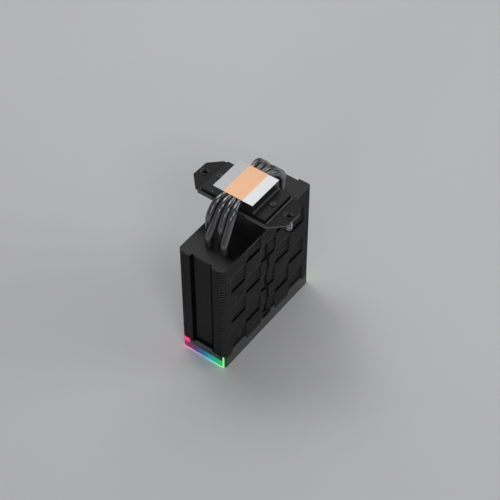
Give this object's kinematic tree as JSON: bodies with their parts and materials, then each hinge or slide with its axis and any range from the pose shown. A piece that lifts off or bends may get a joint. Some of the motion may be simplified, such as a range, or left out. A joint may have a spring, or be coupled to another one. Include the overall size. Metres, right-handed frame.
{
  "type": "cpu tower cooler",
  "caption": "Fan-less single-tower heatsink with U-shaped heat pipes, direct-touch base, steel bar with spring screws and a lit plastic top cover.",
  "frame": {"origin": "centre of the top cover's flat outer face, on which the cooler stands upside down", "axes": "+Z from the cover to the contact face of the base, X along the 120 mm wide face of the fins, Y through the 45 mm depth and along the mounting bar"},
  "size_m": [0.1212, 0.094, 0.158],
  "materials": {
    "fins": "satin black coated aluminium",
    "heat_pipe": "satin black coated copper, bare and milled on the contact face",
    "base_block": "milled contact face, black coated sides",
    "base_plate": "black coated die-cast aluminium",
    "mounting_bar": "black coated steel",
    "black_screws": "black zinc",
    "steel_screws": "dark nickel",
    "retaining_clips": "spring steel",
    "washers": "nickel plated",
    "springs": "nickel plated spring wire",
    "cover": "fine matt charcoal",
    "light_guide": "frosted translucent, lit",
    "diffuser": "frosted translucent, lit",
    "circuit_board": "black solder mask",
    "leds": "white package with clear lens",
    "board_screws": "zinc plated"
  },
  "bodies": {
    "cooler": {"fin_row_1": "fins", "fin_row_2": "fins", "fin_row_3": "fins", "fin_row_4": "fins", "fin_row_5": "fins", "fin_row_6": "fins", "top_fin": "fins", "heat_pipe_1": "heat_pipe", "heat_pipe_2": "heat_pipe", "heat_pipe_3": "heat_pipe", "heat_pipe_4": "heat_pipe", "base_block": "base_block", "base_plate": "base_plate", "mounting_bar": "mounting_bar", "bar_fixing_screws": "black_screws", "cover_shell": "cover", "spring_front": "springs", "spring_rear": "springs", "light_guide_left": "light_guide", "light_guide_right": "light_guide", "diffuser_left": "diffuser", "diffuser_right": "diffuser", "led_board_left": "circuit_board", "led_board_right": "circuit_board", "leds_left": "leds", "leds_right": "leds", "board_screws_left": "board_screws", "board_screws_right": "board_screws"},
    "washer_front": {"spring_washer_front": "washers"},
    "screw_front": {"spring_screw_front": "steel_screws", "retaining_clip_front": "retaining_clips"},
    "washer_rear": {"spring_washer_rear": "washers"},
    "screw_rear": {"spring_screw_rear": "steel_screws", "retaining_clip_rear": "retaining_clips"}
  },
  "joints": [
    {"name": "front_screw_travel", "type": "slide", "parent": "cooler", "child": "washer_front", "axis": [0, 0, 1], "range_m": [0, 0.0035], "stiffness_N_per_m": 4000, "springref_m": -0.003, "deforming": ["spring_front"]},
    {"name": "front_screw_turn", "type": "hinge", "parent": "washer_front", "child": "screw_front", "pos_m": [0, -0.0412, 0.1327], "axis": [0, 0, 1], "continuous": true},
    {"name": "rear_screw_travel", "type": "slide", "parent": "cooler", "child": "washer_rear", "axis": [0, 0, 1], "range_m": [0, 0.0035], "stiffness_N_per_m": 4000, "springref_m": -0.003, "deforming": ["spring_rear"]},
    {"name": "rear_screw_turn", "type": "hinge", "parent": "washer_rear", "child": "screw_rear", "pos_m": [0, 0.0412, 0.1327], "axis": [0, 0, 1], "continuous": true}
  ]
}
